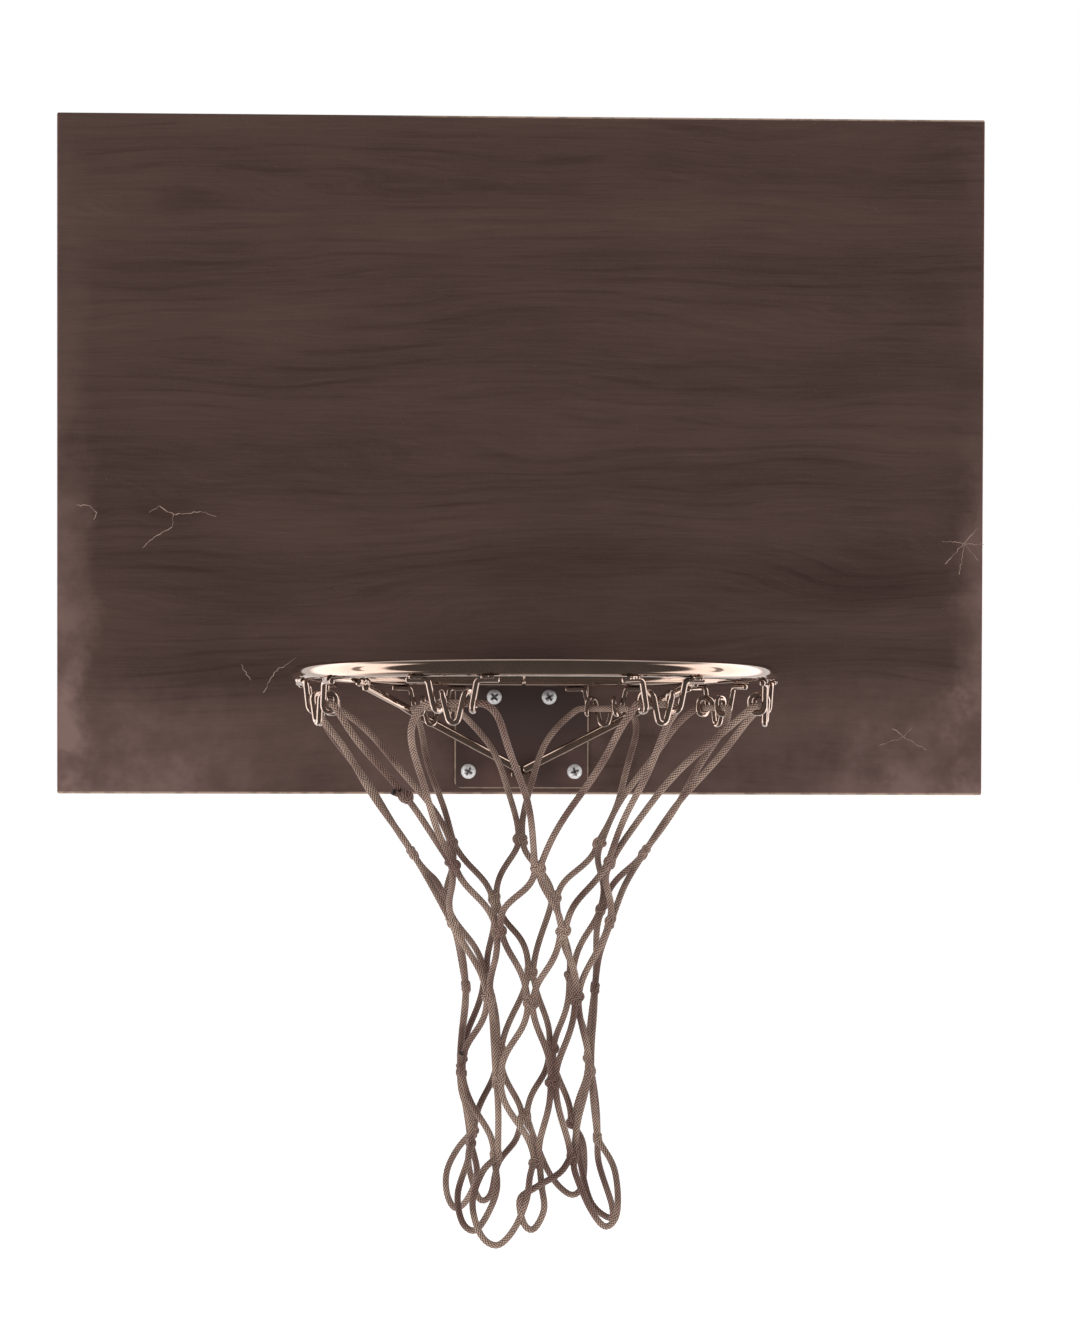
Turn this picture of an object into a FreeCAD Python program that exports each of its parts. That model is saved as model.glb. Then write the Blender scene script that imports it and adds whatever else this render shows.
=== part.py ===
"""Wall-hung mini basketball hoop: wooden backboard, steel rim on a braced back plate, knotted cord net.

Millimetres. +X right, -Y out of the wall, +Z up. The origin is the centre of the backboard's back
face, so the wall is the plane y = 0 and everything else stands in front of it.
"""

import FreeCAD, Part

import math
import os

V = FreeCAD.Vector
UP = V(0, 0, 1)
OUT = V(0, -1, 0)

# ---------------------------------------------------------------- driving dimensions
BOARD_WIDTH, BOARD_HEIGHT, BOARD_THICK = 523.0, 382.0, 19.0
BOARD_CORNER_R, BOARD_ARRIS = 1.0, 0.6

RIM_INSIDE_D = 228.6
RIM_BAR_D = 8.0
RIM_ABOVE_BOARD_FOOT = 64.5
RIM_CENTRE_FROM_BOARD = 148.0
RIM_SEAM_GAP = 0.5

PLATE_WIDTH, PLATE_FOOT_ABOVE_BOARD_FOOT, PLATE_THICK = 75.5, 3.5, 2.5
PLATE_CORNER_R, PLATE_ARRIS_R, BEND_R = 4.0, 0.5, 2.0
TONGUE_WIDTH = 60.0

BRACE_D = 5.0
BRACE_RIM_ANGLE = 130.0
BRACE_RIM_INWARD, BRACE_RIM_DOWN = 4.6, 0.8
BRACE_FOOT_ABOVE_BOARD_FOOT = 14.0
BRACE_FOOT_APART = 1.0
BRACE_KINK_X, BRACE_KINK_FROM_BOARD, BRACE_KINK_R = 66.0, 39.0, 22.0

PAN_HEAD_D, PAN_HEAD_H, PAN_SHANK_D, PAN_LENGTH = 8.4, 2.8, 4.2, 15.5
TOP_SCREW_X, TOP_SCREW_Z = 15.5, 55.0
LOW_SCREW_X, LOW_SCREW_Z = 30.0, 13.0

KEYHOLE_X, KEYHOLE_Z = 160.0, 134.0
KEYHOLE_D, KEYHOLE_SLOT_W, KEYHOLE_SLOT_RISE = 9.5, 4.6, 12.0
KEYHOLE_LIP, KEYHOLE_DEPTH, HEAD_ROOM_W = 3.2, 9.0, 10.0

WIRE_D = 3.0
CORD_D = 3.2
# angles round the rim from its front, positive to the right; the hooks were tacked on by hand
HOOK_ANGLES = (-66.0, -21.0, 28.0, 75.0, 121.0, 158.0, 206.0, 249.0)

# one half of a net hook: (along the rim, out from the rim's centreline, up from the rim's underside)
HOOK_HALF = (
    (23.0, 0.0, -1.5),
    (12.0, 0.0, -1.5),
    (9.0, -0.6, -15.7),
    (8.2, -7.9, -15.7),
    (7.5, -7.9, -6.9),
    (5.7, -0.7, -6.9),
)
HOOK_HALF_BEND_R = (2.0, 3.3, 3.3, 3.3, 3.3)
HOOK_TONGUE, HOOK_TONGUE_BEND_R = (0.0, -1.8, -28.9), 2.6
LOOP_BEND = (14.5, -4.45, -12.4)
LOOP_BEND_R = 5.0

# the net's knot rows: (radius, depth under the rim's centre, shift in X, front lower than middle,
# out-of-round share, direction of the long axis in degrees, turn of the row in degrees)
KNOT_ROWS = (
    (54.7, 90.4, -2.2, 4.5, -0.088, 20.0, -3.7),
    (41.8, 121.6, -2.7, 6.0, -0.051, -27.0, -6.7),
    (31.0, 158.2, -1.2, 4.6, -0.075, -26.0, -8.7),
    (35.0, 197.1, -3.5, 4.8, 0.005, -17.0, -8.2),
    (32.3, 234.8, 0.7, 6.0, 0.0, 0.0, 0.0),
)
KNOTS_A_ROW = 8
ROW_START = (6.0, -16.5, 6.0, -16.5)
LAST_ROW_ANGLES = (0.0, 34.0, 89.0, 139.0, 186.0, 250.0, 279.0, 322.0)
KNOT_R, STRAND_OFFSET = 5.5, 1.8
BOTTOM_LOOP_ANGLES = (3.0, 64.0, 102.0, 147.0, 213.0, 249.0, 311.0, 335.0)
BOTTOM_LOOP_R, BOTTOM_LOOP_DROP, BOTTOM_LOOP_FOOT, BOTTOM_LOOP_BEND_R = 41.5, 36.5, 12.5, 5.5

# ---------------------------------------------------------------- places worked out from them
BOARD_FRONT_Y = -BOARD_THICK
BOARD_FOOT_Z = -BOARD_HEIGHT / 2
RIM_BAR_R = RIM_BAR_D / 2
RIM_R = RIM_INSIDE_D / 2 + RIM_BAR_R
RIM_Z = BOARD_FOOT_Z + RIM_ABOVE_BOARD_FOOT
RIM_CENTRE = V(0, BOARD_FRONT_Y - RIM_CENTRE_FROM_BOARD, RIM_Z)
RIM_UNDER_Z = RIM_Z - RIM_BAR_R
PLATE_FRONT_Y = BOARD_FRONT_Y - PLATE_THICK


def save(name, shape):
    """Write one node's STEP file."""
    shape.exportStep("parts/" + name + ".step")


def rounded_path(points, radii):
    """A wire of straight runs through the points, with a tangent arc of the given radius at each
    inner point."""
    edges, start = [], points[0]
    for before, corner, after, radius in zip(points, points[1:], points[2:], radii):
        way_in = (corner - before).normalize()
        way_out = (after - corner).normalize()
        turn = way_in.getAngle(way_out)
        cut = radius * math.tan(turn / 2)
        arc_from, arc_to = corner - way_in * cut, corner + way_out * cut
        to_centre = (way_out - way_in).normalize()
        arc_mid = corner + to_centre * (radius / math.cos(turn / 2) - radius)
        edges.append(Part.LineSegment(start, arc_from).toShape())
        edges.append(Part.Arc(arc_from, arc_mid, arc_to).toShape())
        start = arc_to
    edges.append(Part.LineSegment(start, points[-1]).toShape())
    return Part.Wire(edges)


def tube(points, radii, diameter):
    """A round bar or cord along a rounded path."""
    path = rounded_path(points, radii)
    circle = Part.Circle(points[0], points[1] - points[0], diameter / 2)
    return path.makePipeShell([Part.Wire(circle.toShape())], True, False)


def rod(start, end, diameter):
    return Part.makeCylinder(diameter / 2, (end - start).Length, start, end - start)


def on_rim(angle, along=0.0, outward=0.0, up=0.0):
    """A point near the rim: angle from its front, then the offset along the rim, out from its
    centreline, and up from its underside."""
    a = math.radians(angle)
    tangent = V(math.cos(a), math.sin(a), 0)
    radial = V(math.sin(a), -math.cos(a), 0)
    base = V(RIM_CENTRE.x, RIM_CENTRE.y, RIM_UNDER_Z)
    return base + radial * (RIM_R + outward) + tangent * along + UP * up


def full_rim():
    return Part.makeTorus(RIM_R, RIM_BAR_R, RIM_CENTRE, UP)


# ---------------------------------------------------------------- screws
def cross_recess(width, depth, arm):
    """A Phillips recess that opens towards -Y at the origin."""
    upright = Part.makeBox(arm, depth, width, V(-arm / 2, 0, -width / 2))
    level = Part.makeBox(width, depth, arm, V(-width / 2, 0, -arm / 2))
    point = Part.makeCone(width * 0.3, arm * 0.5, depth * 1.4, V(0, 0, 0), V(0, 1, 0))
    return upright.fuse(level).fuse(point)


def pan_screw(x, z, turn):
    """A pan-head wood screw whose head sits on the back plate, with its shank going into the board."""
    seat = V(x, PLATE_FRONT_Y, z)
    dome_r = (PAN_HEAD_D**2 / 4 + PAN_HEAD_H**2) / (2 * PAN_HEAD_H)
    dome = Part.makeSphere(dome_r, V(x, PLATE_FRONT_Y - PAN_HEAD_H + dome_r, z))
    head = dome.common(Part.makeCylinder(PAN_HEAD_D / 2, PAN_HEAD_H, seat, OUT))
    straight = PAN_LENGTH - PAN_SHANK_D
    shank = Part.makeCylinder(PAN_SHANK_D / 2, straight, seat, V(0, 1, 0))
    tip = Part.makeCone(PAN_SHANK_D / 2, 0.3, PAN_SHANK_D, seat + V(0, straight, 0), V(0, 1, 0))
    recess = cross_recess(5.0, 1.6, 1.1)
    recess.rotate(V(0, 0, 0), V(0, 1, 0), turn)
    recess.translate(V(x, PLATE_FRONT_Y - PAN_HEAD_H, z))
    return head.fuse(shank).fuse(tip).cut(recess).removeSplitter()


def plate_screws():
    z_top, z_low = BOARD_FOOT_Z + TOP_SCREW_Z, BOARD_FOOT_Z + LOW_SCREW_Z
    return {
        "plate_screw_top_left": pan_screw(-TOP_SCREW_X, z_top, 38),
        "plate_screw_top_right": pan_screw(TOP_SCREW_X, z_top, 30),
        "plate_screw_low_left": pan_screw(-LOW_SCREW_X, z_low, 62),
        "plate_screw_low_right": pan_screw(LOW_SCREW_X, z_low, 20),
    }


# ---------------------------------------------------------------- keyholes in the board's back
def upright_slot(x, width, near_y, depth):
    """A slot with round ends, from the keyhole's entry up to where the wall screw rests."""
    foot = V(x, near_y, KEYHOLE_Z)
    slot = Part.makeBox(width, depth, KEYHOLE_SLOT_RISE, foot + V(-width / 2, -depth, 0))
    for rise in (0, KEYHOLE_SLOT_RISE):
        slot = slot.fuse(Part.makeCylinder(width / 2, depth, foot + UP * rise, OUT))
    return slot.removeSplitter()


def keyhole(side):
    """The entry for a wall screw's head, the narrow slot above it, and room for the head behind."""
    x = side * KEYHOLE_X
    proud = 1.0
    entry = Part.makeCylinder(KEYHOLE_D / 2, KEYHOLE_LIP + proud, V(x, proud, KEYHOLE_Z), OUT)
    slot = upright_slot(x, KEYHOLE_SLOT_W, proud, KEYHOLE_LIP + proud)
    room = upright_slot(x, HEAD_ROOM_W, -KEYHOLE_LIP, KEYHOLE_DEPTH - KEYHOLE_LIP)
    return entry.fuse(slot).fuse(room)


# ---------------------------------------------------------------- backboard
def backboard(screws):
    low = V(-BOARD_WIDTH / 2, BOARD_FRONT_Y, BOARD_FOOT_Z)
    board = Part.makeBox(BOARD_WIDTH, BOARD_THICK, BOARD_HEIGHT, low)
    corners = [e for e in board.Edges if abs(e.tangentAt(0).y) > 0.9]
    board = board.makeFillet(BOARD_CORNER_R, corners)
    rims = [e for e in board.Edges if abs(e.BoundBox.YMax - e.BoundBox.YMin) < 0.01]
    board = board.makeFillet(BOARD_ARRIS, rims)
    for side in (-1, 1):
        board = board.cut(keyhole(side))
    for screw in screws:
        board = board.cut(screw)
    return board


# ---------------------------------------------------------------- rim, back plate and braces
def rim_ring():
    """The round bar bent to a ring, its two ends nearly meeting at the back."""
    gap = math.degrees(RIM_SEAM_GAP / RIM_R)
    ring = Part.makeTorus(RIM_R, RIM_BAR_R, V(0, 0, 0), UP, -180, 180, 360 - gap)
    ring.rotate(V(0, 0, 0), UP, 90 + gap / 2)
    ring.translate(RIM_CENTRE)
    return ring


def back_plate(screws):
    """A flat plate bent forward at its top into a tongue that reaches the back of the rim."""
    foot_z = BOARD_FOOT_Z + PLATE_FOOT_ABOVE_BOARD_FOOT
    half = PLATE_THICK / 2
    tongue_end = RIM_CENTRE.y + RIM_R
    outline = [
        V(0, BOARD_FRONT_Y, foot_z),
        V(0, BOARD_FRONT_Y, RIM_Z + half),
        V(0, tongue_end, RIM_Z + half),
        V(0, tongue_end, RIM_Z - half),
        V(0, PLATE_FRONT_Y, RIM_Z - half),
        V(0, PLATE_FRONT_Y, foot_z),
    ]
    sheet = Part.Face(Part.makePolygon(outline + outline[:1]))
    sheet.translate(V(-PLATE_WIDTH / 2, 0, 0))
    plate = sheet.extrude(V(PLATE_WIDTH, 0, 0))

    def bend_edges(y, z):
        return [
            e
            for e in plate.Edges
            if abs(e.CenterOfMass.y - y) < 0.01 and abs(e.CenterOfMass.z - z) < 0.01
            and abs(e.CenterOfMass.x) < 0.01
        ]

    plate = plate.makeFillet(BEND_R + PLATE_THICK, bend_edges(BOARD_FRONT_Y, RIM_Z + half))
    plate = plate.makeFillet(BEND_R, bend_edges(PLATE_FRONT_Y, RIM_Z - half))
    lower_corners = [
        e
        for e in plate.Edges
        if abs(e.CenterOfMass.z - foot_z) < 0.01 and abs(abs(e.CenterOfMass.x) - PLATE_WIDTH / 2) < 0.01
    ]
    plate = plate.makeFillet(PLATE_CORNER_R, lower_corners)
    front_outline = [
        e
        for e in plate.Edges
        if abs(e.CenterOfMass.y - PLATE_FRONT_Y) < 0.01 and e.CenterOfMass.z < RIM_Z - BEND_R - PLATE_THICK
        and e.BoundBox.YLength < 0.01
    ]
    plate = plate.makeFillet(PLATE_ARRIS_R, front_outline)
    shoulder_y = PLATE_FRONT_Y - BEND_R
    notch = (PLATE_WIDTH - TONGUE_WIDTH) / 2
    for side in (-1, 1):
        corner = V(side * (PLATE_WIDTH / 2 - notch / 2) - notch, shoulder_y - 60, RIM_Z - 10)
        plate = plate.cut(Part.makeBox(2 * notch, 60, 20, corner + V(side * notch / 2, 0, 0)))
    plate = plate.cut(Part.makeCylinder(RIM_R + RIM_BAR_R - 1, 20, RIM_CENTRE - UP * 10, UP))
    plate = plate.cut(full_rim())
    for screw in screws:
        plate = plate.cut(screw)
    return plate


def brace_ends(side):
    """Where a brace's centreline starts on the plate, kinks, and ends beside the rim."""
    rim_end = on_rim(side * BRACE_RIM_ANGLE, 0, -BRACE_RIM_INWARD, -BRACE_RIM_DOWN)
    foot_z = BOARD_FOOT_Z + BRACE_FOOT_ABOVE_BOARD_FOOT
    plate_end = V(side * BRACE_FOOT_APART, PLATE_FRONT_Y - BRACE_D / 2, foot_z)
    share = (side * BRACE_KINK_X - plate_end.x) / (rim_end.x - plate_end.x)
    kink_z = plate_end.z + share * (rim_end.z - plate_end.z)
    kink = V(side * BRACE_KINK_X, BOARD_FRONT_Y - BRACE_KINK_FROM_BOARD, kink_z)
    return plate_end, kink, rim_end


def brace(side):
    """A rod from the foot of the plate to the inner side of the rim, bent once to pass behind the
    net hooks, its lower end cut upright where it meets the other brace."""
    plate_end, kink, rim_end = brace_ends(side)
    lead_in = plate_end - (kink - plate_end).normalize() * 8
    lead_out = rim_end + (rim_end - kink).normalize() * 2
    bar = tube([lead_in, kink, lead_out], [BRACE_KINK_R], BRACE_D)
    across = 40.0
    far_side_x = -across + 0.02 if side > 0 else -0.02
    beyond = Part.makeBox(across, 60, 60, V(far_side_x, PLATE_FRONT_Y - 30, plate_end.z - 30))
    behind = Part.makeBox(60, 20, 60, V(-30, PLATE_FRONT_Y, plate_end.z - 30))
    return without(bar, [beyond, behind, full_rim()])


def bead(start, end, radius):
    """A weld bead: a short rounded run."""
    run = rod(start, end, 2 * radius)
    return run.fuse(Part.makeSphere(radius, start)).fuse(Part.makeSphere(radius, end))


def without(shape, others):
    """The shape's largest solid once its neighbours are cut from it."""
    for other in others:
        shape = shape.cut(other)
    return max(shape.Solids, key=lambda s: s.Volume)


def brace_welds(braces, plate):
    """A blob where each brace meets the rim, and one under their lower ends on the plate."""
    neighbours = list(braces) + [full_rim(), plate]
    beads = []
    for side in (-1, 1):
        start = on_rim(side * (BRACE_RIM_ANGLE - 2), 0, -4.4, 1.0)
        end = on_rim(side * (BRACE_RIM_ANGLE + 1), 0, -4.4, 1.0)
        beads.append(without(bead(start, end, 2.3), neighbours))
    foot = brace_ends(1)[0] + V(-BRACE_FOOT_APART, BRACE_D / 2 - 0.8, -BRACE_D / 2 - 0.3)
    half_run = V(5, 0, 0)
    beads.append(without(bead(foot - half_run, foot + half_run, 1.6), neighbours))
    return Part.makeCompound(beads)


def rim_welds(plate, ring):
    """A fillet of weld above and below the tongue, along the back of the rim."""
    beads = []
    for up in (1, -1):
        arc_r = RIM_R + RIM_BAR_R + 0.6
        centre = RIM_CENTRE + UP * (up * (PLATE_THICK / 2 + 0.7))
        run = Part.makeTorus(arc_r, 1.5, centre, UP, -180, 180, 20)
        run.rotate(centre, UP, 80)
        beads.append(without(run, [plate, ring]))
    return Part.makeCompound(beads)


# ---------------------------------------------------------------- net hooks
def net_hook(angle):
    """One wire bent to two tacked feet, two eyes and a middle tongue."""
    left = [(-along, outward, up) for along, outward, up in HOOK_HALF]
    right = list(reversed(HOOK_HALF))
    route = [on_rim(angle, *place) for place in left + [HOOK_TONGUE] + right]
    radii = HOOK_HALF_BEND_R + (HOOK_TONGUE_BEND_R,) + HOOK_HALF_BEND_R[::-1]
    wire = tube(route, radii, WIRE_D)
    for side in (-1, 1):
        tack = bead(on_rim(angle, side * 15, 1.2, -0.4), on_rim(angle, side * 20, 1.4, -0.4), 1.0)
        wire = wire.fuse(tack)
    return without(wire, [full_rim()])


# ---------------------------------------------------------------- net
def knot_places():
    """The centre of every knot, row by row from the top."""
    rows = []
    step = 360 / KNOTS_A_ROW
    angle_lists = [[start + k * step for k in range(KNOTS_A_ROW)] for start in ROW_START]
    angle_lists.append(LAST_ROW_ANGLES)
    for angles, row in zip(angle_lists, KNOT_ROWS):
        radius, depth, shift, front_low, oval, long_axis, turn = row
        places = []
        for even_angle in angles:
            angle = math.radians(even_angle + turn)
            r = radius * (1 + oval * math.cos(2 * angle - math.radians(2 * long_axis)))
            x = shift + r * math.sin(angle)
            y = RIM_CENTRE.y - r * math.cos(angle)
            places.append(V(x, y, RIM_Z - depth - front_low * math.cos(angle)))
        rows.append(places)
    return rows


def knots(places):
    return Part.makeCompound([Part.makeSphere(KNOT_R, p) for p in places])


def beside(knot, side):
    """A point inside a knot, a little to its right (side 1) or left (side -1) along the row."""
    outward = V(knot.x - RIM_CENTRE.x, knot.y - RIM_CENTRE.y, 0)
    return knot + UP.cross(outward).normalize() * (side * STRAND_OFFSET)


def trimmed(cord, places):
    """A cord's middle run, cut to the knots at its two ends."""
    return without(cord, [Part.makeSphere(KNOT_R, p) for p in places])


def net_loop(k, top_row):
    """The cord that goes through both eyes of hook k and down to a knot on each side."""
    left_knot, right_knot = top_row[(k + 6) % KNOTS_A_ROW], top_row[(k + 7) % KNOTS_A_ROW]
    along, outward, up = LOOP_BEND
    bends = [on_rim(HOOK_ANGLES[k], side * along, outward, up) for side in (-1, 1)]
    route = [beside(left_knot, 1)] + bends + [beside(right_knot, -1)]
    cord = tube(route, (LOOP_BEND_R, LOOP_BEND_R), CORD_D)
    return trimmed(cord, (left_knot, right_knot))


def mesh_row(upper, lower, first):
    """The two strands from each knot of one row to the two nearest knots of the row below."""
    strands = []
    for k, knot in enumerate(upper):
        for step, side in ((first, -1), (first + 1, 1)):
            end = lower[(k + step) % KNOTS_A_ROW]
            strand = rod(beside(knot, side), beside(end, -side), CORD_D)
            strands.append(trimmed(strand, (knot, end)))
    return Part.makeCompound(strands)


def bottom_loops(last_row):
    """The open loops under the last row, flaring out a little."""
    loops = []
    for k, knot in enumerate(last_row):
        other = last_row[(k + 1) % KNOTS_A_ROW]
        middle = (knot + other) * 0.5
        axis = V(RIM_CENTRE.x + KNOT_ROWS[-1][2], RIM_CENTRE.y, middle.z)
        angle = math.radians(BOTTOM_LOOP_ANGLES[k])
        outward = V(math.sin(angle), -math.cos(angle), 0)
        foot = axis + outward * BOTTOM_LOOP_R - UP * BOTTOM_LOOP_DROP
        half_foot = (other - knot).normalize() * (BOTTOM_LOOP_FOOT / 2)
        radii = (BOTTOM_LOOP_BEND_R, BOTTOM_LOOP_BEND_R)
        route = [beside(knot, 1), foot - half_foot, foot + half_foot, beside(other, -1)]
        cord = tube(route, radii, CORD_D)
        loops.append(trimmed(cord, (knot, other)))
    return Part.makeCompound(loops)


# ---------------------------------------------------------------- build
def build():
    screws = plate_screws()
    ring = rim_ring()
    plate = back_plate(screws.values())
    braces = [brace(-1), brace(1)]
    nodes = {
        "backboard": backboard(screws.values()),
        "back_plate": plate,
        "rim_ring": ring,
        "rim_welds": rim_welds(plate, ring),
        "left_brace": braces[0],
        "right_brace": braces[1],
        "brace_welds": brace_welds(braces, plate),
    }
    nodes.update(screws)
    for k, angle in enumerate(HOOK_ANGLES):
        nodes["net_hook_%d" % (k + 1)] = net_hook(angle)

    rows = knot_places()
    for k in range(len(HOOK_ANGLES)):
        nodes["net_loop_%d" % (k + 1)] = net_loop(k, rows[0])
    for number, places in enumerate(rows, 1):
        nodes["net_knots_row_%d" % number] = knots(places)
    for number, first in enumerate((0, -1, 0, -1), 1):
        nodes["net_mesh_%d" % number] = mesh_row(rows[number - 1], rows[number], first)
    nodes["net_bottom_loops"] = bottom_loops(rows[-1])
    return nodes


os.makedirs("parts", exist_ok=True)
for node, shape in build().items():
    save(node, shape)
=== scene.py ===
"""Looks for the wall-hung mini basketball hoop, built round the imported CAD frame.

Metres, in the CAD's frame: +X right, -Y out of the wall, +Z up, y = 0 the wall.
"""

import math
import random

import bmesh
import bpy
import numpy as np
from mathutils import Matrix, Quaternion, Vector, noise


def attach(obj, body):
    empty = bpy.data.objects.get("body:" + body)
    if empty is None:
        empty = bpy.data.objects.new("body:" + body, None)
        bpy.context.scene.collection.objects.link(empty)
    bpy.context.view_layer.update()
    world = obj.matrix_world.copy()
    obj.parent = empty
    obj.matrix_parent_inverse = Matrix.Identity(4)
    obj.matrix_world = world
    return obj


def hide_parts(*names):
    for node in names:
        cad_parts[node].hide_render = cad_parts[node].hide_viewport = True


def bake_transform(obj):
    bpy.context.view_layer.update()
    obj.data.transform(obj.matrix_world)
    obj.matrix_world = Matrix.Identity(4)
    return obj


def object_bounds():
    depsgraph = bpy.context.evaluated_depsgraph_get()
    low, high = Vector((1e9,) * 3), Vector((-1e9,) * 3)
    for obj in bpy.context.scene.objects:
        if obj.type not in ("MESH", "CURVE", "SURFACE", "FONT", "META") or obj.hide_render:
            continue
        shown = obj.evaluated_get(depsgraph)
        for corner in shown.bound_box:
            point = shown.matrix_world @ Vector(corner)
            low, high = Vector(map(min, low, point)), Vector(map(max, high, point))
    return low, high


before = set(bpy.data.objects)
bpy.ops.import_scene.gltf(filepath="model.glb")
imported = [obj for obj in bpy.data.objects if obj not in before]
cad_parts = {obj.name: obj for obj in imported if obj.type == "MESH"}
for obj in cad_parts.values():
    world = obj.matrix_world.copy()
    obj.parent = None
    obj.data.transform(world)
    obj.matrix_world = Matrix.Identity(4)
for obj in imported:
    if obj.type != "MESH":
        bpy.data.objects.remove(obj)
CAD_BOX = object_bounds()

MM = 0.001
UP = Vector((0, 0, 1))
random.seed(7)

# ---------------------------------------------------------------- the photograph's viewpoint
CAMERA_AT = Vector((-0.0565, -1.4003, -0.1570))
CAMERA_YAW, CAMERA_PITCH, CAMERA_ROLL = (math.radians(a) for a in (1.39, -0.85, 0.14))
CAMERA_LENS, CAMERA_SENSOR = 66.24, 36.0
CAMERA_SHIFT = (0.0446, 0.0797)

# ---------------------------------------------------------------- sizes repeated from the CAD source
BOARD_WIDTH, BOARD_HEIGHT, BOARD_THICK = 0.523, 0.382, 0.019
RIM_R, RIM_BAR_R, RIM_END_GAP = 0.1183, 0.004, 0.0005
RIM_CENTRE = Vector((0, -0.167, -0.1265))
RIM_UNDER_Z = RIM_CENTRE.z - RIM_BAR_R
PLATE_FRONT_Y, PLATE_WIDTH, PLATE_FOOT_Z = -0.0215, 0.0755, -0.1875
BRACE_R = 0.0025
# a brace's end at the rim: degrees from the rim's front, then millimetres inward and down
BRACE_RIM_ANGLE, BRACE_RIM_INWARD, BRACE_RIM_DOWN = 130.0, 4.6, 0.8
BRACE_FOOT_Z, BRACE_FOOT_APART = -0.177, 0.001
BRACE_KINK_X, BRACE_KINK_Y, BRACE_KINK_R = 0.066, -0.058, 0.022
WIRE_R = 0.0015
CORD_R = 0.0016
# degrees round the rim from its front
HOOK_ANGLES = (-66, -21, 28, 75, 121, 158, 206, 249)
# corners of half a net hook, its tongue's corner and the middle of its eye: millimetres along the rim,
# outward, and up from the rim's underside
HOOK_HALF = (
    (23.0, 0.0, -1.5),
    (12.0, 0.0, -1.5),
    (9.0, -0.6, -15.7),
    (8.2, -7.9, -15.7),
    (7.5, -7.9, -6.9),
    (5.7, -0.7, -6.9),
)
HOOK_HALF_BEND_R = (2.0, 3.3, 3.3, 3.3, 3.3)
HOOK_TONGUE, HOOK_TONGUE_BEND_R = (0.0, -1.8, -28.9), 2.6
LOOP_EYE = (12.0, -4.45, -12.4)
# degrees of each row's first knot, and the room given to it, since the knots are about 45 apart
ROW_START, ROW_ROOM = (6.0, -16.5, 6.0, -16.5, 0.0), 22
# the knot of the next row that each row's first knot has its first strand to, counted from it
ROW_FIRST = (0, -1, 0, -1)
# the heights at each hinge that go with a blend between two bodies; nothing in this script reads them
SWING_BLEND_Z, SWAY_BLEND_Z = (-0.143, -0.212), (-0.250, -0.283)
# points in millimetres down each open loop at the net's foot, from one knot of the last row to the
# next: picked at guessed depths, then put into millimetres through the camera. The first loop
# is crossed, from its second knot back to its first
FOOT_LOOPS = (
    (
        (12, -200, -373), (0, -206, -379), (-8, -211, -384), (-6, -210, -396),
        (-1, -208, -399), (4, -206, -390), (3, -203, -379),
    ),
    (
        (20, -194, -374), (28, -188, -393), (36, -183, -403), (42, -181, -396),
        (41, -176, -376),
    ),
    (
        (34, -165, -375), (41, -160, -397), (40, -156, -404), (31, -150, -397),
        (26, -143, -378),
    ),
    (
        (28, -134, -370), (28, -130, -391), (22, -130, -397), (12, -130, -388),
        (4, -130, -371),
    ),
    (
        (-7, -131, -368), (-16, -132, -380), (-20, -132, -396), (-25, -134, -399),
        (-29, -138, -391), (-32, -145, -375),
    ),
    (
        (-38, -151, -370), (-43, -150, -381), (-43, -151, -392), (-39, -154, -399),
        (-33, -160, -394), (-28, -168, -379),
    ),
    (
        (-33, -183, -370), (-38, -190, -385), (-36, -194, -398), (-30, -197, -402),
        (-24, -201, -394), (-19, -203, -380),
    ),
    (
        (-26, -202, -372), (-31, -204, -387), (-27, -207, -402), (-19, -208, -407),
        (-11, -210, -399), (-5, -211, -385), (-3, -209, -373),
    ),
)
CROSSED_LOOP = 0
# the loop whose second leg is spliced with a knot, and where along the leg
SPLICED_LOOP, SPLICE_SHARE = 0, 0.66
# short cut ends: (row, knot, way out of the knot, length in mm)
CUT_ENDS = ((3, 7, (-0.25, -0.3, 0.9), 10), (3, 3, (0.2, 0.2, 0.95), 7), (4, 4, (0.1, -0.4, -0.9), 7))
# for each hook, its two legs of cord: (how far it runs straight out of the eye, sideways bow), in mm
TOP_LEGS = (
    ((5, 0), (8, -4)),
    ((13, -4), (18, -4)),
    ((8, 7), (6, -4)),
    ((6, -2), (6, -1)),
    ((6, 2), (6, -2)),
    ((9, 4), (9, -2)),
    ((7, 2), (5, 3)),
    ((6, 2), (6, 0)),
)
# how far a leg holds the way it leaves its knot, as a share of its length, and its slack waves
LEG_HOLD, LEG_WAVES = 0.34, 1.2 * MM
KNOTS_A_ROW = 8
# the row whose strands hang across the sway hinge
SWAY_ROW = 1


def on_rim(angle, along=0.0, outward=0.0, up=0.0):
    """A point near the rim: degrees from its front, then millimetres along the rim, out from its
    centreline and up from its underside."""
    a = math.radians(angle)
    tangent = Vector((math.cos(a), math.sin(a), 0))
    radial = Vector((math.sin(a), -math.cos(a), 0))
    base = Vector((RIM_CENTRE.x, RIM_CENTRE.y, RIM_UNDER_Z))
    return base + radial * (RIM_R + outward * MM) + tangent * (along * MM) + UP * (up * MM)


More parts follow.
